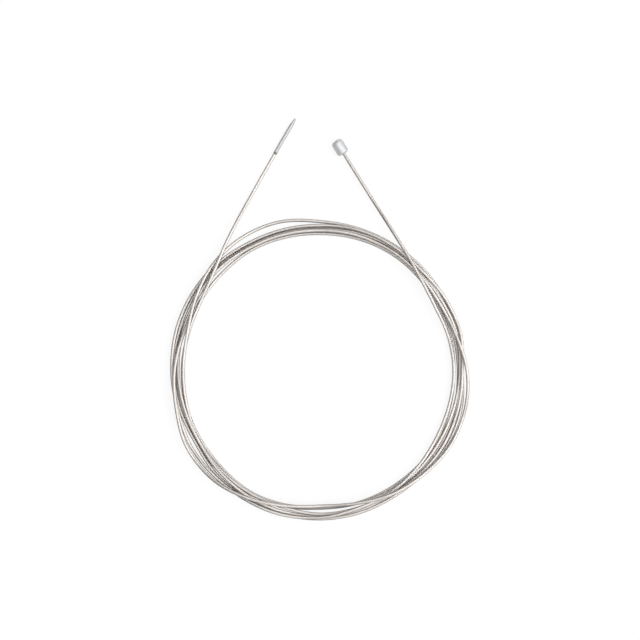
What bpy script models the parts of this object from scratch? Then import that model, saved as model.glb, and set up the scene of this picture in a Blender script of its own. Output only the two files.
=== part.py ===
# Shift cable: the inner wire of a bicycle derailleur cable, coiled and lying flat.
# Metres, +Z up. The cable lies on z = 0 with the coil's two ends pointing towards +Y,
# and the origin is the middle of the underside of its box.

import math

import bmesh
import bpy
import numpy as np
from mathutils import Matrix, Vector

# Sizes that can be set one by one
WIRE_DIAMETER = 0.0011        # stranded inner wire
COIL_RADIUS = 0.0472          # mean radius of the wound turns
TURN_GAP = 0.0001             # least space left between two turns
TURN_BEND = 7.0               # how quickly a turn may rise over another, per metre
HEAD_DIAMETER = 0.0040        # barrel head that sits in the shifter
HEAD_LENGTH = 0.0050
HEAD_END_ROUND = 0.0008       # rounding of the closed end
HEAD_SHOULDER_CHAMFER = 0.0005
HEAD_BORE_DEPTH = 0.0036      # how far the wire reaches into the head
HEAD_BORE_FLARE = 0.0002      # widening of the bore's mouth
HEAD_CLEARANCE = 0.0003       # space between wire and bore
HEAD_TAIL_LENGTH = 0.0398     # straight run from the coil to the head's shoulder
HEAD_TAIL_HEADING = 121.9     # degrees from +X
HEAD_TAIL_ANGLE = 37.5        # where that run leaves the coil, degrees clockwise from +Y
HEAD_TAIL_OFFSET = 0.15       # and how far outside COIL_RADIUS, in LANE_UNIT
TIP_DIAMETER = 0.0013         # end fused with solder so that it doesn't fray
TIP_LENGTH = 0.0135
TIP_POINT_DIAMETER = 0.0006
TIP_TAPER_LENGTH = 0.0035
TIP_CLEARANCE = 0.0003        # space between the wire's end and the fused end
TIP_TAIL_LENGTH = 0.0553      # from the coil to the very point
TIP_TAIL_HEADING = 61.8
TIP_TAIL_ANGLE = 315.0
TIP_TAIL_OFFSET = 1.1

# Each turn's distance from COIL_RADIUS in LANE_UNIT, at stations 15 degrees apart
# clockwise from +Y. A turn goes on into the next one at 360 degrees. They were chosen by
# eye along the strands of the photograph.
STATION = 15.0
LANE_UNIT = 0.001
LANES = (
    (None, None, None, -2.0, -4.0, -3.5, -3.1, -3.1, -2.8, -1.9, -0.75, -0.1,
     1.35, 1.95, 2.0, 2.1, 2.3, 1.5, 1.7, 2.0, 2.0, 1.7, 0.9, 0.65),
    (0.5, 0.55, 0.15, -0.5, 0.25, 0.6, -0.35, 0.0, 0.45, 0.4, 0.2, 0.0,
     0.3, -0.45, -0.6, -0.7, -0.9, -1.7, -2.2, -2.0, 0.05, 2.4, 3.6, 3.5),
    (1.85, 1.15, 0.7, 0.45, 0.15, 0.1, -0.3, 1.1, 1.6, 1.05, 1.2, 1.75,
     2.05, 2.0, 1.75, 1.35, 0.35, 0.9, 1.3, 1.1, 1.1, 0.75, 0.1, -0.1),
    (0.1, -0.3, -0.95, -1.6, -1.9, -1.6, -1.5, -1.0, -0.35, -0.2, -0.45, 0.5,
     1.1, 1.0, 0.5, -0.2, -0.9, -0.7, -0.3, -0.2, -0.2, -0.1, -0.7, -1.0),
    (-1.2, -1.2, -1.5, -1.9, -2.15, -1.15, 1.05, 2.35, 2.45, 1.15, -0.15, -1.85,
     -2.45, -1.15, 1.1, 3.2, 3.45, 1.75, 0.7, -0.7, -1.6, -1.7, -1.5, -1.8),
    (-2.1, -2.05, -2.05, -2.4, -2.85, -2.75, -3.0, -2.75, -2.1, -1.8, -1.7, -1.5,
     -1.5, -0.7, -0.2, 0.1, 0.1, 0.1, 0.2, 0.1, -0.2, 0.05, -0.35, -0.6),
    (-0.85, -0.5, -0.3, -1.35, -1.1, -0.65, -1.1, -1.35, -1.3, -1.0, -1.0, -1.6,
     -2.0, -1.2, -0.8, -1.3, -1.4, -1.4, -1.7, -2.17, -1.88, None, None, None),
)
# Extra stations where a turn bends most: turn, angle, distance from COIL_RADIUS
EXTRA_STATIONS = ((0, 52.5, -3.35), (6, 307.5, -0.9))

# Which turn lies above which, as (angle, level) along each turn. Of two turns that meet,
# the one with the higher level there is on top.
LEVELS = (
    ((0, 9), (58, 9), (66, 3.5), (300, 3.5), (360, 3)),
    ((0, 3), (150, 3), (180, 2.6), (262, 2.6), (278, 6), (340, 6), (360, 1.4)),
    ((0, 1.4), (225, 2), (340, 2), (360, 1)),
    ((0, 1), (120, 1), (150, 2.1), (190, 2.3), (200, 3.2), (285, 3.2), (300, 2.9), (360, 2.9)),
    ((0, 2.9), (36, 5), (311, 5), (318, 0.5), (360, 0.5)),
    ((0, 0.5), (297, 0.5), (303, 2.4), (360, 2.4)),
    ((0, 2.4), (286, 2.4), (290, 5.5), (296, 5.5), (300, 9), (360, 9)),
)

# The tip's run is slightly bowed: share of its length, and sideways shift in LANE_UNIT
TIP_TAIL_BOW = ((0.13, 0.7), (0.33, 1.09), (0.51, 1.02), (0.69, 0.78), (0.87, 0.54), (1.0, 0.2))

WIRE_STEP = 0.0040            # distance between the wire's drawn points
WIRE_SIDES = 2                # bevel resolution, which gives 8 sides
HEAD_STEPS = 48


def on_circle(angle, offset):
    """Point of the coil at a clockwise angle from +Y."""
    radius = COIL_RADIUS + offset * LANE_UNIT
    return (radius * math.sin(math.radians(angle)), radius * math.cos(math.radians(angle)))


def along(start, heading, distance, sideways=0.0):
    """Point at a distance from start, with a shift to the left of the heading."""
    x, y = math.cos(math.radians(heading)), math.sin(math.radians(heading))
    return (start[0] + x * distance - y * sideways, start[1] + y * distance + x * sideways)


def route_points():
    """The points that the cable's middle line goes through, from the head to the tip."""
    leave = on_circle(HEAD_TAIL_ANGLE, HEAD_TAIL_OFFSET)
    reach = HEAD_TAIL_LENGTH + HEAD_BORE_DEPTH - HEAD_CLEARANCE
    count = 7
    points = [along(leave, HEAD_TAIL_HEADING, reach * (count - i) / count) for i in range(count + 1)]
    stations = [(360 * turn + STATION * i, offset) for turn, lane in enumerate(LANES)
                for i, offset in enumerate(lane) if offset is not None]
    stations += [(360 * turn + angle, offset) for turn, angle, offset in EXTRA_STATIONS]
    first, last = HEAD_TAIL_ANGLE, 360 * (len(LANES) - 1) + TIP_TAIL_ANGLE
    points += [on_circle(angle, offset) for angle, offset in sorted(stations)
               if first + STATION / 4 < angle < last - STATION / 4]
    leave = on_circle(last, TIP_TAIL_OFFSET)
    points.append(leave)
    for share, bow in TIP_TAIL_BOW:
        points.append(along(leave, TIP_TAIL_HEADING, TIP_TAIL_LENGTH * share, bow * LANE_UNIT))
    return np.array(points)


def smooth_curve(points, step):
    """A smooth curve through the points, sampled about every step."""
    chord = np.linalg.norm(np.diff(points, axis=0), axis=1)[:, None]
    slope = np.diff(points, axis=0) / chord
    tangent = np.empty_like(points)
    before, after = chord[:-1], chord[1:]
    tangent[1:-1] = (slope[:-1] * after + slope[1:] * before) / (before + after)
    tangent[0] = 2 * slope[0] - tangent[1]
    tangent[-1] = 2 * slope[-1] - tangent[-2]
    curve = []
    for i in range(len(points) - 1):
        length = chord[i, 0]
        t = np.linspace(0.0, 1.0, max(2, round(length / step)), endpoint=False)[:, None]
        curve.append((2 * t**3 - 3 * t**2 + 1) * points[i]
                     + (t**3 - 2 * t**2 + t) * length * tangent[i]
                     + (3 * t**2 - 2 * t**3) * points[i + 1]
                     + (t**3 - t**2) * length * tangent[i + 1])
    curve.append(points[-1:])
    return np.concatenate(curve)


def stack_heights(degrees, radius, run, lowest):
    """Heights of the middle line so that turns lie on the ground and on each other.

    All are given once for each whole degree along the cable: its angle, its radius, the
    distance run so far and the lowest height it may have. One turn is 360 samples away
    from the next, so two turns that meet are found by that shift alone.
    """
    pitch = WIRE_DIAMETER + TURN_GAP
    turn = (degrees // 360).astype(int)
    level = np.array([np.interp(d - 360 * t, *zip(*LEVELS[t])) for d, t in zip(degrees, turn)])
    slope = np.gradient(radius, math.radians(1.0)) / radius
    count = len(degrees)
    meetings = []
    for shift in range(360, count, 360):
        a, b = slice(0, count - shift), slice(shift, count)
        across = (radius[a] - radius[b]) / np.hypot(1.0, slope[a] - slope[b])
        rise = np.sqrt(np.maximum(pitch**2 - across**2, 0.0))
        meets = np.abs(across) < pitch
        meetings.append((a, b, rise, meets & (level[a] > level[b]), meets & (level[a] <= level[b])))
    height = lowest.copy()
    for _ in range(30):
        need = lowest.copy()
        for a, b, rise, first_on_top, second_on_top in meetings:
            need[a] = np.maximum(need[a], np.where(first_on_top, height[b] + rise, 0.0))
            need[b] = np.maximum(need[b], np.where(second_on_top, height[a] + rise, 0.0))
        # a stiff wire comes down slowly on both sides of what lifts it
        eased = need.copy()
        for k in range(1, 31):
            drop = TURN_BEND * (run[k:] - run[:-k])**2
            eased[:-k] = np.maximum(eased[:-k], need[k:] - drop)
            eased[k:] = np.maximum(eased[k:], need[:-k] - drop)
        eased = np.convolve(np.pad(eased, 3, mode="edge"), np.full(7, 1 / 7), mode="valid")
        if np.abs(eased - height).max() < 1e-7:
            break
        height = eased
    return height


def cable_route():
    """Middle line of the cable from inside the head to the tip, and the distance along it."""
    flat = smooth_curve(route_points(), 0.0003)
    run = np.concatenate([[0.0], np.cumsum(np.linalg.norm(np.diff(flat, axis=0), axis=1))])
    degrees = np.degrees(np.unwrap(np.arctan2(flat[:, 0], flat[:, 1])))
    radius = np.hypot(flat[:, 0], flat[:, 1])
    whole = np.arange(math.ceil(degrees[0]), math.floor(degrees[-1]) + 1)
    run_whole = np.interp(whole, degrees, run)
    lowest = np.full(len(whole), WIRE_DIAMETER / 2)
    lowest[run_whole < 0.8 * HEAD_TAIL_LENGTH] = HEAD_DIAMETER / 2
    lowest[run_whole > run[-1] - 1.5 * TIP_LENGTH] = TIP_DIAMETER / 2
    height = stack_heights(whole, np.interp(whole, degrees, radius), run_whole, lowest)
    route = np.column_stack([flat, np.interp(degrees, whole, height)])
    return route - box_middle(route), run


def box_middle(route):
    """Middle of the cable's box, seen from above, which becomes the origin."""
    low = route[:, :2].min(axis=0) - WIRE_DIAMETER / 2
    high = route[:, :2].max(axis=0) + WIRE_DIAMETER / 2
    high[1] = route[-1, 1] + TIP_POINT_DIAMETER / 2 * math.cos(math.radians(TIP_TAIL_HEADING))
    return np.array([*((low + high) / 2), 0.0])


def part_of_route(route, run, start, end, step):
    """Points of the route between two distances, at an even step."""
    at = np.linspace(start, end, max(2, round((end - start) / step) + 1))
    return np.column_stack([np.interp(at, run, route[:, i]) for i in range(3)])


def material(name, colour, roughness):
    mat = bpy.data.materials.new(name)
    mat.use_nodes = True
    shader = mat.node_tree.nodes["Principled BSDF"]
    shader.inputs["Base Color"].default_value = (*colour, 1.0)
    shader.inputs["Metallic"].default_value = 1.0
    shader.inputs["Roughness"].default_value = roughness
    return mat


def tube(name, points, diameter, mat, collection, shares=None):
    """A round bar with closed ends along the points."""
    curve = bpy.data.curves.new(name, "CURVE")
    curve.dimensions = "3D"
    curve.bevel_depth = diameter / 2
    curve.bevel_resolution = WIRE_SIDES
    curve.use_fill_caps = True
    spline = curve.splines.new("POLY")
    spline.points.add(len(points) - 1)
    for i, point in enumerate(points):
        spline.points[i].co = (*point, 1.0)
        spline.points[i].radius = 1.0 if shares is None else shares[i]
    curve.materials.append(mat)
    obj = bpy.data.objects.new(name, curve)
    collection.objects.link(obj)
    return obj


def head_profile():
    """Half section of the head: radius and distance from the shoulder's face."""
    outer = HEAD_DIAMETER / 2
    bore = WIRE_DIAMETER / 2 + HEAD_CLEARANCE
    profile = [(0.0, HEAD_LENGTH)]
    for i in range(7):
        a = math.radians(90 - 15 * i)
        profile.append((outer - HEAD_END_ROUND + HEAD_END_ROUND * math.cos(a),
                        HEAD_LENGTH - HEAD_END_ROUND + HEAD_END_ROUND * math.sin(a)))
    profile += [
        (outer, HEAD_SHOULDER_CHAMFER),
        (outer - HEAD_SHOULDER_CHAMFER, 0.0),
        (bore + HEAD_BORE_FLARE, 0.0),
        (bore, HEAD_BORE_FLARE),
        (bore, HEAD_BORE_DEPTH),
        (0.0, HEAD_BORE_DEPTH),
    ]
    return profile


def head(shoulder, direction, mat, collection):
    """The turned head: its profile swept round the wire's line."""
    mesh = bpy.data.meshes.new("head")
    bm = bmesh.new()
    verts = [bm.verts.new((r, 0.0, z)) for r, z in head_profile()]
    for a, b in zip(verts, verts[1:]):
        bm.edges.new((a, b))
    bm.to_mesh(mesh)
    bm.free()
    mesh.materials.append(mat)
    obj = bpy.data.objects.new("head", mesh)
    collection.objects.link(obj)
    turn = obj.modifiers.new("turned", "SCREW")
    turn.axis = "Z"
    turn.angle = math.tau
    turn.steps = turn.render_steps = HEAD_STEPS
    turn.use_merge_vertices = True
    turn.merge_threshold = 0.00001
    turn.use_normal_calculate = True
    obj.matrix_world = (Matrix.Translation(shoulder)
                        @ direction.to_track_quat("Z", "Y").to_matrix().to_4x4())
    return obj


def main():
    for obj in list(bpy.data.objects):
        bpy.data.objects.remove(obj, do_unlink=True)
    parts = bpy.data.collections.new("shift_cable")
    bpy.context.scene.collection.children.link(parts)
    steel = material("stainless_wire", (0.62, 0.60, 0.57), 0.35)
    zinc = material("cast_zinc", (0.74, 0.75, 0.77), 0.25)
    solder = material("tin_solder", (0.70, 0.71, 0.74), 0.30)

    route, run = cable_route()
    wire_end = run[-1] - TIP_LENGTH - TIP_CLEARANCE
    wire = part_of_route(route, run, 0.0, wire_end, WIRE_STEP)
    tube("wire_rope", wire, WIRE_DIAMETER, steel, parts)

    inner = Vector(wire[0])
    direction = Vector((math.cos(math.radians(HEAD_TAIL_HEADING)),
                        math.sin(math.radians(HEAD_TAIL_HEADING)), 0.0))
    shoulder = inner - direction * (HEAD_BORE_DEPTH - HEAD_CLEARANCE)
    head(shoulder, direction, zinc, parts)

    tip = part_of_route(route, run, run[-1] - TIP_LENGTH, run[-1], TIP_TAPER_LENGTH / 5)
    left = np.linspace(TIP_LENGTH, 0.0, len(tip))
    point = TIP_POINT_DIAMETER / TIP_DIAMETER
    shares = np.where(left > TIP_TAPER_LENGTH, 1.0,
                      point + (1 - point) * np.sin(left / TIP_TAPER_LENGTH * math.pi / 2))
    tube("fused_tip", tip, TIP_DIAMETER, solder, parts, shares)


main()
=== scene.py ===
"""Looks of a coiled bicycle shift cable: stranded wire, barrel head, solder-fused tip, stage."""

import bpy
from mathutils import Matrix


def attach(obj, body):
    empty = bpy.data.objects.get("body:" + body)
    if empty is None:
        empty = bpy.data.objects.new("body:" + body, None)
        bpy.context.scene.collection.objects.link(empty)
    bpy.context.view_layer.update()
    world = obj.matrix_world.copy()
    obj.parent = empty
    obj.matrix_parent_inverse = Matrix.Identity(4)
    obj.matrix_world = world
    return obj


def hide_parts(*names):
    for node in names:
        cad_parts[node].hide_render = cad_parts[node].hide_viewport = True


bl_info = {
    "name": "Shift Cable",
    "version": (1, 0, 0),
    "blender": (4, 5, 0),
    "location": "3D View > Sidebar > Shift Cable",
    "description": "Builds the inner wire of a bicycle derailleur cable, coiled and lying flat",
    "category": "Object",
}

import math

import bpy
import numpy as np
from bpy.props import FloatProperty, FloatVectorProperty, IntProperty, PointerProperty
from mathutils import Matrix, Vector

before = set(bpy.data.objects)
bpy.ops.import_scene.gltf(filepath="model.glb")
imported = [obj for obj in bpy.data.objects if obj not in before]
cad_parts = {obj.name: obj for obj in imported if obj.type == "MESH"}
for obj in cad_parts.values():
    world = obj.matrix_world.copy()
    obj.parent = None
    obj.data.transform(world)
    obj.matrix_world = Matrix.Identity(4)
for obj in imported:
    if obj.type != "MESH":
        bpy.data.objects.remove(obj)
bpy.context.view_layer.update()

# Sizes of the route that the solids follow too, in metres and degrees
TURN_GAP = 0.0001
TURN_BEND = 7.0
HEAD_BORE_DEPTH = 0.0036
HEAD_CLEARANCE = 0.0003
HEAD_TAIL_LENGTH = 0.0398
HEAD_TAIL_HEADING = 121.9
HEAD_TAIL_ANGLE = 37.5
HEAD_TAIL_OFFSET = 0.15
TIP_TAIL_LENGTH = 0.0553
TIP_TAIL_HEADING = 61.8
TIP_TAIL_ANGLE = 315.0
TIP_TAIL_OFFSET = 1.1

# Each turn's distance from the coil's radius in LANE_UNIT, at stations 15 degrees apart
# clockwise from +Y. A turn goes on into the next one at 360 degrees.
STATION = 15.0
LANE_UNIT = 0.001
LANES = (
    (None, None, None, -2.0, -4.0, -3.5, -3.1, -3.1, -2.8, -1.9, -0.75, -0.1,
     1.35, 1.95, 2.0, 2.1, 2.3, 1.5, 1.7, 2.0, 2.0, 1.7, 0.9, 0.65),
    (0.5, 0.55, 0.15, -0.5, 0.25, 0.6, -0.35, 0.0, 0.45, 0.4, 0.2, 0.0,
     0.3, -0.45, -0.6, -0.7, -0.9, -1.7, -2.2, -2.0, 0.05, 2.4, 3.6, 3.5),
    (1.85, 1.15, 0.7, 0.45, 0.15, 0.1, -0.3, 1.1, 1.6, 1.05, 1.2, 1.75,
     2.05, 2.0, 1.75, 1.35, 0.35, 0.9, 1.3, 1.1, 1.1, 0.75, 0.1, -0.1),
    (0.1, -0.3, -0.95, -1.6, -1.9, -1.6, -1.5, -1.0, -0.35, -0.2, -0.45, 0.5,
     1.1, 1.0, 0.5, -0.2, -0.9, -0.7, -0.3, -0.2, -0.2, -0.1, -0.7, -1.0),
    (-1.2, -1.2, -1.5, -1.9, -2.15, -1.15, 1.05, 2.35, 2.45, 1.15, -0.15, -1.85,
     -2.45, -1.15, 1.1, 3.2, 3.45, 1.75, 0.7, -0.7, -1.6, -1.7, -1.5, -1.8),
    (-2.1, -2.05, -2.05, -2.4, -2.85, -2.75, -3.0, -2.75, -2.1, -1.8, -1.7, -1.5,
     -1.5, -0.7, -0.2, 0.1, 0.1, 0.1, 0.2, 0.1, -0.2, 0.05, -0.35, -0.6),
    (-0.85, -0.5, -0.3, -1.35, -1.1, -0.65, -1.1, -1.35, -1.3, -1.0, -1.0, -1.6,
     -2.0, -1.2, -0.8, -1.3, -1.4, -1.4, -1.7, -2.17, -1.88, None, None, None),
)
# Extra stations where a turn bends most: turn, angle, distance from the coil's radius
EXTRA_STATIONS = ((0, 52.5, -3.35), (6, 307.5, -0.9))

# Which turn lies above which, as (angle, level) along each turn
LEVELS = (
    ((0, 9), (58, 9), (66, 3.5), (300, 3.5), (360, 3)),
    ((0, 3), (150, 3), (180, 2.6), (262, 2.6), (278, 6), (340, 6), (360, 1.4)),
    ((0, 1.4), (225, 2), (340, 2), (360, 1)),
    ((0, 1), (120, 1), (150, 2.1), (190, 2.3), (200, 3.2), (285, 3.2), (300, 2.9), (360, 2.9)),
    ((0, 2.9), (36, 5), (311, 5), (318, 0.5), (360, 0.5)),
    ((0, 0.5), (297, 0.5), (303, 2.4), (360, 2.4)),
    ((0, 2.4), (286, 2.4), (290, 5.5), (296, 5.5), (300, 9), (360, 9)),
)
# The tip's run is slightly bowed: share of its length, and sideways shift in LANE_UNIT
TIP_TAIL_BOW = ((0.13, 0.7), (0.33, 1.09), (0.51, 1.02), (0.69, 0.78), (0.87, 0.54), (1.0, 0.2))

RING_STEP = 0.00079           # distance between the strand's drawn cross sections
POINTS_PER_WIRE = 3           # points that draw one outer wire in a cross section
CORD_STEP = 0.002             # distance between the points sampled along the cord's run in the tip step

HEAD_SIDES = 96               # faces round the head
HEAD_ROUND_STEPS = 12         # faces across the rounding of its closed end
BORE_GAP = 0.00012            # between the wire and the wall of its hole in the head
BORE_EDGE = 0.0002            # bevel round that hole

TIP_OVERLAP = 0.0005          # how far the strand goes on inside the solder
TIP_RING_STEP = 0.0001        # distance between the tip's drawn cross sections
TIP_POINTS_PER_WIRE = 4
TIP_GROOVES = 0.05            # share of the wires' grooves that the solder leaves open
TIP_SWELL_LENGTH = 0.0008     # in which the solder grows from the wire's diameter to its own

# The stage, in metres
FLOOR_REACH = 20.0            # from its middle to each edge
FLOOR_GLOW = 1.03             # a little over white, so that no grey noise is left
CAMERA_PLACE = (0.0001, -0.00015)  # x and y, while its height follows from the view width
PICTURE_HEIGHT = 0.0015       # height above the floor at which the view width holds
KEY_LAMP_PLACE = (0.40, -0.14, 0.50)
KEY_LAMP_WIDTH = 0.40
# Directions from the cable
SOFT_BOX_WAY = (0.30, -0.08, 0.95)
PALE_SIDE_WAY = (0.96, -0.28, 0.0)
UP = (0.0, 0.0, 1.0)

WHITE = (1.0, 1.0, 1.0)


# The cable's line

def on_circle(angle, offset):
    """Point of the coil at a clockwise angle from +Y."""
    radius = sizes().coil_radius + offset * LANE_UNIT
    return (radius * math.sin(math.radians(angle)), radius * math.cos(math.radians(angle)))


def along(start, heading, distance, sideways=0.0):
    """Point at a distance from start, with a shift to the left of the heading."""
    x, y = math.cos(math.radians(heading)), math.sin(math.radians(heading))
    return (start[0] + x * distance - y * sideways, start[1] + y * distance + x * sideways)


def route_points():
    """The points that the cable's middle line goes through, from the head to the tip."""
    leave = on_circle(HEAD_TAIL_ANGLE, HEAD_TAIL_OFFSET)
    reach = HEAD_TAIL_LENGTH + HEAD_BORE_DEPTH - HEAD_CLEARANCE
    count = 7
    points = [along(leave, HEAD_TAIL_HEADING, reach * (count - i) / count) for i in range(count + 1)]
    stations = [(360 * turn + STATION * i, offset) for turn, lane in enumerate(LANES)
                for i, offset in enumerate(lane) if offset is not None]
    stations += [(360 * turn + angle, offset) for turn, angle, offset in EXTRA_STATIONS]
    first, last = HEAD_TAIL_ANGLE, 360 * (len(LANES) - 1) + TIP_TAIL_ANGLE
    points += [on_circle(angle, offset) for angle, offset in sorted(stations)
               if first + STATION / 4 < angle < last - STATION / 4]
    leave = on_circle(last, TIP_TAIL_OFFSET)
    points.append(leave)
    for share, bow in TIP_TAIL_BOW:
        points.append(along(leave, TIP_TAIL_HEADING, TIP_TAIL_LENGTH * share, bow * LANE_UNIT))
    return np.array(points)


def smooth_curve(points, step):
    """A smooth curve through the points, sampled about every step."""
    chord = np.linalg.norm(np.diff(points, axis=0), axis=1)[:, None]
    slope = np.diff(points, axis=0) / chord
    tangent = np.empty_like(points)
    before, after = chord[:-1], chord[1:]
    tangent[1:-1] = (slope[:-1] * after + slope[1:] * before) / (before + after)
    tangent[0] = 2 * slope[0] - tangent[1]
    tangent[-1] = 2 * slope[-1] - tangent[-2]
    curve = []
    for i in range(len(points) - 1):
        length = chord[i, 0]
        t = np.linspace(0.0, 1.0, max(2, round(length / step)), endpoint=False)[:, None]
        curve.append((2 * t**3 - 3 * t**2 + 1) * points[i]
                     + (t**3 - 2 * t**2 + t) * length * tangent[i]
                     + (3 * t**2 - 2 * t**3) * points[i + 1]
                     + (t**3 - t**2) * length * tangent[i + 1])
    curve.append(points[-1:])
    return np.concatenate(curve)


def stack_heights(degrees, radius, run, lowest):
    """Heights of the middle line so that turns lie on the ground and on each other."""
    pitch = sizes().wire_diameter + TURN_GAP
    turn = (degrees // 360).astype(int)
    level = np.array([np.interp(d - 360 * t, *zip(*LEVELS[t])) for d, t in zip(degrees, turn)])
    slope = np.gradient(radius, math.radians(1.0)) / radius
    count = len(degrees)
    meetings = []
    for shift in range(360, count, 360):
        a, b = slice(0, count - shift), slice(shift, count)
        across = (radius[a] - radius[b]) / np.hypot(1.0, slope[a] - slope[b])
        rise = np.sqrt(np.maximum(pitch**2 - across**2, 0.0))
        meets = np.abs(across) < pitch
        meetings.append((a, b, rise, meets & (level[a] > level[b]), meets & (level[a] <= level[b])))
    height = lowest.copy()
    for _ in range(30):
        need = lowest.copy()
        for a, b, rise, first_on_top, second_on_top in meetings:
            need[a] = np.maximum(need[a], np.where(first_on_top, height[b] + rise, 0.0))
            need[b] = np.maximum(need[b], np.where(second_on_top, height[a] + rise, 0.0))
        # a stiff wire comes down slowly on both sides of what lifts it
        eased = need.copy()
        for k in range(1, 31):
            drop = TURN_BEND * (run[k:] - run[:-k])**2
            eased[:-k] = np.maximum(eased[:-k], need[k:] - drop)
            eased[k:] = np.maximum(eased[k:], need[:-k] - drop)
        eased = np.convolve(np.pad(eased, 3, mode="edge"), np.full(7, 1 / 7), mode="valid")
        if np.abs(eased - height).max() < 1e-7:
            break
        height = eased
    return height


def cable_route():
    """Middle line of the cable from inside the head to the tip, and the distance along it."""
    own = sizes()
    flat = smooth_curve(route_points(), 0.0003)
    run = np.concatenate([[0.0], np.cumsum(np.linalg.norm(np.diff(flat, axis=0), axis=1))])
    degrees = np.degrees(np.unwrap(np.arctan2(flat[:, 0], flat[:, 1])))
    radius = np.hypot(flat[:, 0], flat[:, 1])
    whole = np.arange(math.ceil(degrees[0]), math.floor(degrees[-1]) + 1)
    run_whole = np.interp(whole, degrees, run)
    lowest = np.full(len(whole), own.wire_diameter / 2)
    lowest[run_whole < 0.8 * HEAD_TAIL_LENGTH] = own.head_diameter / 2
    lowest[run_whole > run[-1] - 1.5 * own.tip_length] = own.tip_diameter / 2
    height = stack_heights(whole, np.interp(whole, degrees, radius), run_whole, lowest)
    route = np.column_stack([flat, np.interp(degrees, whole, height)])
    low = flat.min(axis=0) - own.wire_diameter / 2
    high = flat.max(axis=0) + own.wire_diameter / 2
    high[1] = flat[-1, 1] + own.tip_point_diameter / 2 * math.cos(math.radians(TIP_TAIL_HEADING))
    return route - np.array([*((low + high) / 2), 0.0]), run


def part_of_route(route, run, start, end, step):
    """Points of the route between two distances at an even step, and those distances."""
    at = np.linspace(start, end, max(2, round((end - start) / step) + 1))
    return np.column_stack([np.interp(at, run, route[:, i]) for i in range(3)]), at


# Meshes

def new_piece(name, node, points, faces, finish, strand=None):
    """A smooth mesh that stands for a node of the frame and may carry a map of its strands."""
    mesh = bpy.data.meshes.new(name)
    mesh.from_pydata(points.tolist(), [], faces)
    mesh.polygons.foreach_set("use_smooth", np.ones(len(mesh.polygons), dtype=bool))
    if strand is not None:
        layer = mesh.uv_layers.new(name="strand")
        layer.uv.foreach_set("vector", np.column_stack(strand).astype(np.float32).ravel())
    mesh.materials.append(finish)
    mesh.update()
    piece = bpy.data.objects.new(name, mesh)
    bpy.context.scene.collection.objects.link(piece)
    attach(piece, "root")
    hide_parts(node)
    return piece


def strand_rings(centres, at, reach, lay):
    """Rings of points round the centres; reach gives each point's distance from the centre.

    The points turn with the lay, so that each follows its own wire.
    """
    forward = np.gradient(centres, axis=0)
    forward /= np.linalg.norm(forward, axis=1)[:, None]
    side = np.cross(forward, (0.0, 0.0, 1.0))
    side /= np.linalg.norm(side, axis=1)[:, None]
    up = np.cross(side, forward)
    count = reach.shape[1]
    angle = math.tau * (np.arange(count)[None, :] / count + at[:, None] / lay)
    return (centres[:, None, :] + reach[:, :, None] * (np.cos(angle)[:, :, None] * side[:, None, :]
                                                      + np.sin(angle)[:, :, None] * up[:, None, :]))


def tube_faces(rings, count):
    """Quads between neighbouring rings and a cap at each end."""
    i, j = np.meshgrid(np.arange(rings - 1), np.arange(count), indexing="ij")
    k = (j + 1) % count
    quads = np.stack([i * count + j, i * count + k, (i + 1) * count + k, (i + 1) * count + j], axis=-1)
    faces = quads.reshape(-1, 4).tolist()
    faces.append(list(range(count))[::-1])
    faces.append([(rings - 1) * count + j for j in range(count)])
    return faces


def strand_map(rings, count, at, wires):
    """Map of a strand: wires counted round it, and metres along it, for each face corner."""
    i, j = np.meshgrid(np.arange(rings - 1), np.arange(count), indexing="ij")
    across = np.stack([j, j + 1, j + 1, j], axis=-1) * wires / count
    along_it = np.stack([at[i], at[i], at[i + 1], at[i + 1]], axis=-1)
    ends = np.arange(count) * wires / count
    return (np.concatenate([across.ravel(), ends[::-1], ends]),
            np.concatenate([along_it.ravel(), np.full(count, at[0]), np.full(count, at[-1])]))


def fluted(radius, wires, points_per_wire, depth=1.0):
    """Outline of wires laid side by side round a circle: each point's distance from its middle."""
    wire = radius * math.sin(math.pi / wires) / (1 + math.sin(math.pi / wires))
    middle = radius - wire
    offsets = (np.arange(points_per_wire) / points_per_wire - 0.5) * math.tau / wires
    reach = middle * np.cos(offsets) + np.sqrt(np.maximum(wire**2 - (middle * np.sin(offsets))**2, 0))
    return np.tile(radius + (reach - radius) * depth, wires)


def turned(profile, steps, place):
    """Points and faces of a turned piece: profile of (radius, height), from axis to axis."""
    angle = np.arange(steps) * math.tau / steps
    body = np.array([(r, z) for r, z in profile if r > 0])
    rings = np.stack([body[:, :1] * np.cos(angle), body[:, :1] * np.sin(angle),
                      np.repeat(body[:, 1:], steps, axis=1)], axis=-1).reshape(-1, 3)
    points = np.vstack([rings, [(0, 0, profile[0][1]), (0, 0, profile[-1][1])]])
    around = [(j, (j + 1) % steps) for j in range(steps)]
    faces = [(ring + j, ring + steps + j, ring + steps + k, ring + k)
             for ring in range(0, (len(body) - 1) * steps, steps) for j, k in around]
    start, end, last = len(rings), len(rings) + 1, (len(body) - 1) * steps
    faces += [(start, j, k) for j, k in around]
    faces += [(end, last + k, last + j) for j, k in around]
    return points @ np.array(place.to_3x3()).T + np.array(place.translation), faces


# Materials

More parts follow.
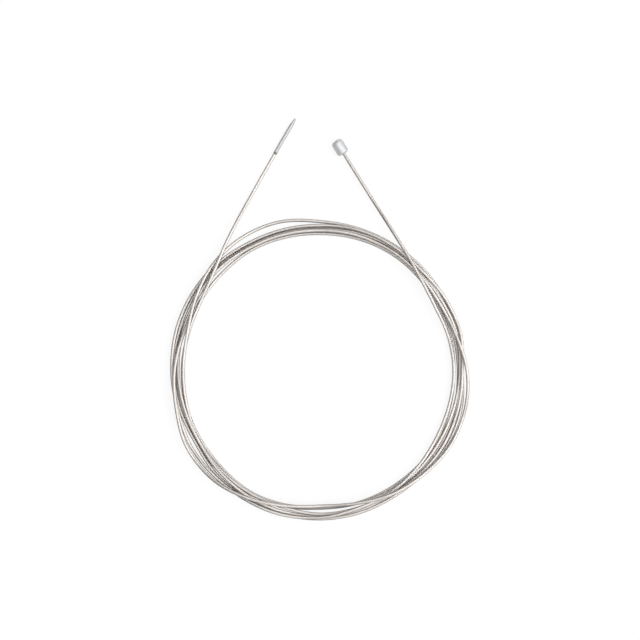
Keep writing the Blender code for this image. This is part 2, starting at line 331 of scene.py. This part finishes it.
class Value:
    """A shader socket that takes part in Python expressions."""

    def __init__(self, shop, socket):
        self.shop = shop
        self.socket = socket

    def math(self, operation, *others):
        inputs = dict(enumerate((self, *others)))
        return self.shop.node("ShaderNodeMath", {"operation": operation}, inputs)

    def sibling(self, name):
        """Another output of the same node."""
        return Value(self.shop, self.socket.node.outputs[name])

    def __add__(self, other):
        return self.math("ADD", other)

    def __radd__(self, other):
        return self.math("ADD", other)

    def __sub__(self, other):
        return self.math("SUBTRACT", other)

    def __rsub__(self, other):
        return self.shop.node("ShaderNodeMath", {"operation": "SUBTRACT"}, {0: other, 1: self})

    def __mul__(self, other):
        return self.math("MULTIPLY", other)

    def __rmul__(self, other):
        return self.math("MULTIPLY", other)

    def between(self, low, high):
        """0 below low, 1 above high and smooth between them."""
        return self.shop.node("ShaderNodeMapRange", {"interpolation_type": "SMOOTHSTEP"},
                              {"Value": self, "From Min": low, "From Max": high})


class Finish:
    """Makes one material node by node."""

    def __init__(self, name=None, tree=None):
        if tree is None:
            self.material = bpy.data.materials.new(name)
            self.material.use_nodes = True
            tree = self.material.node_tree
        self.tree = tree
        self.tree.nodes.clear()

    def node(self, kind, settings=None, inputs=None, output=0):
        """A node of that kind: its settings first, then the values or links of its sockets."""
        made = self.tree.nodes.new(kind)
        for key, value in (settings or {}).items():
            setattr(made, key, value)
        for key, value in (inputs or {}).items():
            if isinstance(value, Value):
                self.tree.links.new(value.socket, made.inputs[key])
            else:
                made.inputs[key].default_value = value
        return Value(self, made.outputs[output] if made.outputs else None)

    def noise(self, vector, scale, detail=2.0, roughness=0.5):
        return self.node("ShaderNodeTexNoise", {"normalize": True},
                         {"Vector": vector, "Scale": scale, "Detail": detail, "Roughness": roughness})

    def blend(self, share, first, second):
        """Colour between two colours."""
        sockets = {0: share, 6: first, 7: second}  # A and B of the kind that mixes colours
        return self.node("ShaderNodeMix", {"data_type": "RGBA"}, sockets, output=2)

    def strand_place(self):
        """Where a point is on the strand: wires counted round it, and metres along it."""
        place = self.node("ShaderNodeUVMap", {"uv_map": "strand"})
        across = self.node("ShaderNodeSeparateXYZ", {}, {0: place}, output="X")
        return across, across.sibling("Y")

    def object_place(self):
        return self.node("ShaderNodeTexCoord", output="Object")

    def bump(self, height, distance, strength=1.0, under=None):
        """Small relief from a height between 0 and 1, laid over another relief."""
        inputs = {"Height": height, "Distance": distance, "Strength": strength}
        if under is not None:
            inputs["Normal"] = under
        return self.node("ShaderNodeBump", {}, inputs)

    def metal(self, colour, roughness, normal):
        """Ends the material as bare metal."""
        shader = self.node("ShaderNodeBsdfPrincipled", {}, {
            "Base Color": colour, "Metallic": 1.0, "Roughness": roughness, "Normal": normal})
        return self.surface(shader)

    def surface(self, shader):
        self.node("ShaderNodeOutputMaterial", {}, {"Surface": shader})
        return self.material


def rgba(colour, level=1.0):
    return (*[c * level for c in colour], 1.0)


def drawn_steel():
    """Bare stainless wires: drawing lines along each, greyer and darker in the grooves between them,
    partly grease and partly painted shade.
    """
    look = colours()
    shop = Finish("stainless_wire")
    across, along_it = shop.strand_place()
    groove = (across.math("FRACT") - 0.5).math("ABSOLUTE") * 2
    wire_number = across.math("FLOOR")
    own_tone = shop.node("ShaderNodeTexWhiteNoise", {"noise_dimensions": "1D"}, {"W": wire_number})
    lines_at = shop.node("ShaderNodeCombineXYZ", {}, {0: across * 9, 1: along_it * 260})
    lines = shop.noise(lines_at, 1.0, 3.0, 0.6)
    patches = shop.noise(shop.object_place(), 160.0, 3.0, 0.6)
    # painted shade: the colour darkens towards the grooves between the wires, partly for grease and
    # partly for the shade that falls there
    dark = groove.between(0.6, 1.0)
    steel = shop.blend(patches.between(0.35, 0.7), rgba(look.steel, 0.94), rgba(look.steel, 1.06))
    steel = shop.blend(own_tone * 0.35 + lines * 0.3, rgba(look.steel, 0.86), steel)
    # the grooves' dark colour mixed in here is part grease, part painted shade
    colour = shop.blend(dark * 0.75, steel, rgba(look.groove))
    rough = 0.21 + lines * 0.12 + dark * 0.25
    return shop.metal(colour, rough, shop.bump(lines, 0.000006, 0.5))


def cast_zinc():
    """Bright die-cast zinc: a soft skin with shallow waves and a few dull spots."""
    look = colours()
    shop = Finish("cast_zinc")
    place = shop.object_place()
    skin = shop.noise(place, 2600.0, 3.0, 0.55)
    waves = shop.noise(place, 620.0, 2.0, 0.5)
    spots = skin.between(0.56, 0.72)
    colour = shop.blend(spots * 0.7, rgba(look.zinc), rgba(look.zinc, 0.8))
    colour = shop.blend(waves.between(0.4, 0.65), colour, rgba(look.zinc, 1.06))
    rough = 0.6 + skin * 0.1 + spots * 0.08
    return shop.metal(colour, rough, shop.bump(skin, 0.000008, 0.6, shop.bump(waves, 0.00004, 0.8)))


def tin_solder():
    """Solder drawn thin over the wires, with a dark line of flux where it begins."""
    look = colours()
    shop = Finish("tin_solder")
    across, along_it = shop.strand_place()
    place = shop.object_place()
    flow_at = shop.node("ShaderNodeCombineXYZ", {}, {0: across * 2, 1: along_it * 700})
    flow = shop.noise(flow_at, 1.0, 2.0, 0.5)
    mottle = shop.noise(place, 2200.0, 3.0, 0.6)
    flux = 1 - along_it.between(0.0003, 0.0011)
    colour = shop.blend(mottle.between(0.4, 0.7), rgba(look.solder, 0.92), rgba(look.solder, 1.05))
    colour = shop.blend(flux * 0.85, colour, rgba(look.groove))
    rough = 0.6 + flow * 0.12 + flux * 0.1
    return shop.metal(colour, rough, shop.bump(flow, 0.00002, 0.7, shop.bump(mottle, 0.000006, 0.5)))


def pale_floor():
    """Matt paper that shows as the photograph's white and still keeps the cable's shadow."""
    stage = stage_values()
    shop = Finish("floor_paper")
    place = shop.object_place()
    grain = shop.noise(place, 900.0, 3.0, 0.5)
    tint = shop.blend(grain, rgba(stage.floor, 0.995), rgba(stage.floor))
    paper = shop.node("ShaderNodeBsdfDiffuse", {}, {"Color": tint, "Roughness": 0.6})
    white = shop.node("ShaderNodeEmission", {}, {"Color": rgba(WHITE), "Strength": FLOOR_GLOW})
    seen = shop.node("ShaderNodeLightPath", output="Is Camera Ray")
    mirrored = seen.sibling("Is Glossy Ray").math("MAXIMUM", seen.sibling("Is Transmission Ray"))
    share = seen * stage.whiteness + mirrored * stage.mirrored_whiteness
    return shop.surface(shop.node("ShaderNodeMixShader", {}, {0: share, 1: paper, 2: white}))


# What a user may change

class ShiftCableSizes(bpy.types.PropertyGroup):
    wire_diameter: FloatProperty(
        name="Wire diameter", description="Outer diameter of the stranded wire",
        default=0.0011, min=0.0008, max=0.002, precision=5, subtype="DISTANCE", unit="LENGTH")
    outer_wires: IntProperty(
        name="Outer wires", description="Wires in the strand's outer layer", default=12, min=6, max=18)
    lay_length: FloatProperty(
        name="Lay length", description="Distance in which an outer wire goes once round the strand",
        default=0.0095, min=0.004, max=0.03, precision=4, subtype="DISTANCE", unit="LENGTH")
    coil_radius: FloatProperty(
        name="Coil radius", description="Mean radius of the wound turns",
        default=0.0472, min=0.03, max=0.1, precision=4, subtype="DISTANCE", unit="LENGTH")
    head_diameter: FloatProperty(
        name="Head diameter", description="Diameter of the barrel head",
        default=0.004, min=0.003, max=0.008, precision=4, subtype="DISTANCE", unit="LENGTH")
    head_length: FloatProperty(
        name="Head length", description="Length of the barrel head",
        default=0.005, min=0.003, max=0.01, precision=4, subtype="DISTANCE", unit="LENGTH")
    head_end_round: FloatProperty(
        name="Head end rounding", description="Radius of the rounding at the head's closed end",
        default=0.0013, min=0.0001, max=0.0015, precision=4, subtype="DISTANCE", unit="LENGTH")
    head_shoulder_chamfer: FloatProperty(
        name="Head shoulder chamfer", description="Bevel round the face that the wire leaves",
        default=0.0005, min=0.0001, max=0.001, precision=4, subtype="DISTANCE", unit="LENGTH")
    tip_diameter: FloatProperty(
        name="Tip diameter", description="Diameter of the soldered end",
        default=0.0013, min=0.0008, max=0.003, precision=4, subtype="DISTANCE", unit="LENGTH")
    tip_length: FloatProperty(
        name="Tip length", description="Length of the soldered end",
        default=0.0135, min=0.005, max=0.03, precision=4, subtype="DISTANCE", unit="LENGTH")
    tip_point_diameter: FloatProperty(
        name="Tip point diameter", description="Diameter at the very end of the tip",
        default=0.0006, min=0.0002, max=0.001, precision=4, subtype="DISTANCE", unit="LENGTH")
    tip_taper_length: FloatProperty(
        name="Tip taper length", description="Length over which the tip narrows to its point",
        default=0.0035, min=0.001, max=0.01, precision=4, subtype="DISTANCE", unit="LENGTH")


class ShiftCableColours(bpy.types.PropertyGroup):
    steel: FloatVectorProperty(
        name="Steel", description="Colour of the stainless wires", subtype="COLOR",
        default=(0.675, 0.634, 0.603), min=0.0, max=1.0)
    # in the steel the grooves' colour is partly grease and partly painted shade between the wires; the
    # tip's flux line uses it too
    groove: FloatVectorProperty(
        name="Grooves", description="Colour of the grease and dirt between the wires", subtype="COLOR",
        default=(0.20, 0.19, 0.18), min=0.0, max=1.0)
    zinc: FloatVectorProperty(
        name="Zinc", description="Colour of the cast head", subtype="COLOR",
        default=(0.66, 0.665, 0.68), min=0.0, max=1.0)
    solder: FloatVectorProperty(
        name="Solder", description="Colour of the soldered tip", subtype="COLOR",
        default=(0.56, 0.563, 0.57), min=0.0, max=1.0)


class ShiftCableStage(bpy.types.PropertyGroup):
    floor: FloatVectorProperty(
        name="Floor", description="Colour of the paper that the cable lies on", subtype="COLOR",
        default=(0.76, 0.76, 0.76), min=0.0, max=1.0)
    whiteness: FloatProperty(
        name="Floor whiteness", description="How far the floor is lifted to plain white in the picture",
        default=0.85, min=0.0, max=1.0, subtype="FACTOR")
    mirrored_whiteness: FloatProperty(
        name="Mirrored whiteness",
        description="How far the floor is lifted to white where metal mirrors it",
        default=0.26, min=0.0, max=1.0, subtype="FACTOR")
    view_width: FloatProperty(
        name="View width", description="Width of the picture at the cable",
        default=0.2112, min=0.05, max=1.0, precision=4, subtype="DISTANCE", unit="LENGTH")
    key_power: FloatProperty(
        name="Key light", description="Power of the lamp beside the camera",
        default=1.0, min=0.0, max=200.0, subtype="POWER", unit="POWER")
    ceiling_light: FloatProperty(
        name="Ceiling", description="Brightness of the soft box overhead",
        default=2.4, min=0.0, max=4.0)
    horizon_light: FloatProperty(
        name="Horizon", description="Brightness of the room behind the cable",
        default=0.8, min=0.0, max=4.0)
    card_light: FloatProperty(
        name="Dark cards", description="Brightness of the cards on the left",
        default=0.25, min=0.0, max=4.0)
    side_light: FloatProperty(
        name="Side", description="Brightness of the room on the right",
        default=0.85, min=0.0, max=4.0)


def sizes():
    return bpy.context.scene.shift_cable_sizes


def colours():
    return bpy.context.scene.shift_cable_colours


def stage_values():
    return bpy.context.scene.shift_cable_stage


# Operators

class SHIFT_CABLE_OT_stage(bpy.types.Operator):
    """Sets the camera straight above the cable, the floor, the lamp and the room's light"""
    bl_idname = "shift_cable.stage"
    bl_label = "Stage"
    bl_options = {"REGISTER", "UNDO"}

    def execute(self, context):
        stage = stage_values()
        scene = context.scene
        lens = bpy.data.cameras.new("camera")
        lens.lens, lens.sensor_width = 85.0, 36.0
        lens.clip_start, lens.clip_end = 0.01, 100.0
        camera = bpy.data.objects.new("camera", lens)
        away = stage.view_width * lens.lens / lens.sensor_width
        camera.location = (*CAMERA_PLACE, PICTURE_HEIGHT + away)
        scene.collection.objects.link(camera)
        scene.camera = camera

        sheet = bpy.data.meshes.new("floor")
        signs = ((-1, -1), (1, -1), (1, 1), (-1, 1))
        corners = [(x * FLOOR_REACH, y * FLOOR_REACH, 0) for x, y in signs]
        sheet.from_pydata(corners, [], [(0, 1, 2, 3)])
        sheet.materials.append(pale_floor())
        floor = bpy.data.objects.new("floor", sheet)
        scene.collection.objects.link(floor)

        self.lamp(scene, "key", KEY_LAMP_PLACE, KEY_LAMP_WIDTH, stage.key_power)
        scene.world = self.room(stage)
        scene.view_settings.view_transform = "Standard"
        return {"FINISHED"}

    def room(self, stage):
        """A studio: one soft box overhead, dim cards half way up and a pale horizon."""
        world = bpy.data.worlds.new("room")
        world.use_nodes = True
        shop = Finish(tree=world.node_tree)
        way = shop.node("ShaderNodeTexCoord", output="Generated")
        box = self.towards(shop, way, SOFT_BOX_WAY).between(0.74, 0.86)
        side = self.towards(shop, way, PALE_SIDE_WAY).between(-0.5, 0.8)
        low = 1 - self.towards(shop, way, UP).between(0.16, 0.30)
        cards = stage.card_light + side * (stage.side_light - stage.card_light)
        walls = low * stage.horizon_light + (1 - low) * cards
        strength = box * stage.ceiling_light + (1 - box) * walls
        light = shop.node("ShaderNodeBackground", {}, {"Color": rgba(WHITE), "Strength": strength})
        shop.node("ShaderNodeOutputWorld", {}, {"Surface": light})
        return world

    def towards(self, shop, way, aim):
        """How far a direction points along the aim."""
        return shop.node("ShaderNodeVectorMath", {"operation": "DOT_PRODUCT"}, {0: way, 1: aim},
                         output="Value")

    def lamp(self, scene, name, place, width, power):
        light = bpy.data.lights.new(name, "AREA")
        light.shape, light.size, light.energy = "SQUARE", width, power
        lamp = bpy.data.objects.new(name, light)
        lamp.location = place
        lamp.rotation_mode = "QUATERNION"
        lamp.rotation_quaternion = Vector(place).to_track_quat("Z", "Y")
        scene.collection.objects.link(lamp)


class SHIFT_CABLE_OT_wire(bpy.types.Operator):
    """Lays the strand along its route, from inside the head to the soldered tip"""
    bl_idname = "shift_cable.wire"
    bl_label = "Stranded wire"
    bl_options = {"REGISTER", "UNDO"}

    def execute(self, context):
        own = sizes()
        route, run = cable_route()
        end = run[-1] - own.tip_length + TIP_OVERLAP
        centres, at = part_of_route(route, run, 0.0, end, RING_STEP)
        outline = fluted(own.wire_diameter / 2, own.outer_wires, POINTS_PER_WIRE)
        reach = np.tile(outline, (len(at), 1))
        rings = strand_rings(centres, at, reach, own.lay_length)
        count = len(outline)
        new_piece("wire_strand", "wire_rope", rings.reshape(-1, 3), tube_faces(len(at), count),
                  drawn_steel(), strand_map(len(at), count, at, own.outer_wires))
        return {"FINISHED"}


class SHIFT_CABLE_OT_head(bpy.types.Operator):
    """Casts the barrel head round the wire's first end"""
    bl_idname = "shift_cable.head"
    bl_label = "Barrel head"
    bl_options = {"REGISTER", "UNDO"}

    def execute(self, context):
        own = sizes()
        route, run = cable_route()
        heading = math.radians(HEAD_TAIL_HEADING)
        direction = Vector((math.cos(heading), math.sin(heading), 0.0))
        shoulder = Vector(route[0]) - direction * (HEAD_BORE_DEPTH - HEAD_CLEARANCE)
        place = Matrix.Translation(shoulder) @ direction.to_track_quat("Z", "Y").to_matrix().to_4x4()
        points, faces = turned(self.profile(own), HEAD_SIDES, place)
        new_piece("barrel_head", "head", points, faces, cast_zinc())
        return {"FINISHED"}

    def profile(self, own):
        """Half section: radius and distance from the shoulder's face."""
        outer, length, bevel = own.head_diameter / 2, own.head_length, own.head_shoulder_chamfer
        line = [(0.0, length)]
        for i in range(1, HEAD_ROUND_STEPS + 1):
            a = math.radians(90 - 90 / HEAD_ROUND_STEPS * i)
            line.append((outer - own.head_end_round + own.head_end_round * math.cos(a),
                         length - own.head_end_round + own.head_end_round * math.sin(a)))
        # close rings on both sides of the bevel's edges keep their rounding narrow
        wide, near, small, tiny = 0.0003, 0.0001, 0.00004, 0.00003
        line += [(outer, bevel + wide), (outer, bevel + near), (outer - small, bevel - tiny),
                 (outer - bevel / 2, bevel / 2),
                 (outer - bevel + tiny, small), (outer - bevel - near, 0.0)]
        bore = own.wire_diameter / 2 + BORE_GAP
        line += [(bore + BORE_EDGE, 0.0), (bore + BORE_EDGE * 0.3, BORE_EDGE * 0.3), (bore, BORE_EDGE),
                 (bore, HEAD_BORE_DEPTH), (0.0, HEAD_BORE_DEPTH)]
        return line


class SHIFT_CABLE_OT_tip(bpy.types.Operator):
    bl_idname = "shift_cable.tip"
    bl_label = "Soldered tip"
    bl_options = {"REGISTER", "UNDO"}

    def execute(self, context):
        own = sizes()
        route, run = cable_route()
        start = run[-1] - own.tip_length
        centres, at = part_of_route(route, run, start, run[-1], TIP_RING_STEP)
        left = run[-1] - at
        point = own.tip_point_diameter / own.tip_diameter
        rounding = np.sin(np.minimum(left / own.tip_taper_length, 1.0) * math.pi / 2)
        taper = np.where(left > own.tip_taper_length, 1.0, point + (1 - point) * rounding)
        bare = own.wire_diameter / own.tip_diameter
        swell = bare + (1 - bare) * np.clip((at - start) / TIP_SWELL_LENGTH, 0.0, 1.0)
        outline = fluted(1.0, own.outer_wires, TIP_POINTS_PER_WIRE, TIP_GROOVES)
        reach = (own.tip_diameter / 2) * (taper * swell)[:, None] * outline[None, :]
        rings = strand_rings(centres, at, reach, own.lay_length)
        count = len(outline)
        flow_map = strand_map(len(at), count, at - start, own.outer_wires)
        tip = new_piece("soldered_tip", "fused_tip", rings.reshape(-1, 3), tube_faces(len(at), count),
                        tin_solder(), flow_map)
        line, _ = part_of_route(route, run, 0.0, start + TIP_OVERLAP, CORD_STEP)
        shoulder, _ = part_of_route(route, run, HEAD_BORE_DEPTH - HEAD_CLEARANCE, run[-1], 1.0)
        return {"FINISHED"}


class SHIFT_CABLE_PT_panel(bpy.types.Panel):
    """Sizes, colours and building steps of the shift cable"""
    bl_idname = "SHIFT_CABLE_PT_panel"
    bl_label = "Shift Cable"
    bl_space_type = "VIEW_3D"
    bl_region_type = "UI"
    bl_category = "Shift Cable"

    def draw(self, context):
        for title, group in (("Sizes", sizes()), ("Colours", colours()), ("Stage", stage_values())):
            box = self.layout.box()
            box.label(text=title)
            for key in group.__annotations__:
                box.prop(group, key)
        for operator in STEPS:
            self.layout.operator(operator.bl_idname)


GROUPS = (("shift_cable_sizes", ShiftCableSizes), ("shift_cable_colours", ShiftCableColours),
          ("shift_cable_stage", ShiftCableStage))
STEPS = (SHIFT_CABLE_OT_stage, SHIFT_CABLE_OT_wire, SHIFT_CABLE_OT_head, SHIFT_CABLE_OT_tip)


def register():
    for name, group in GROUPS:
        bpy.utils.register_class(group)
        setattr(bpy.types.Scene, name, PointerProperty(type=group))
    for made in (*STEPS, SHIFT_CABLE_PT_panel):
        bpy.utils.register_class(made)


def unregister():
    for made in reversed((*STEPS, SHIFT_CABLE_PT_panel)):
        bpy.utils.unregister_class(made)
    for name, group in reversed(GROUPS):
        delattr(bpy.types.Scene, name)
        bpy.utils.unregister_class(group)


def main():
    register()
    bpy.ops.shift_cable.stage()
    bpy.ops.shift_cable.wire()
    bpy.ops.shift_cable.head()
    bpy.ops.shift_cable.tip()


if __name__ == "__main__":
    main()
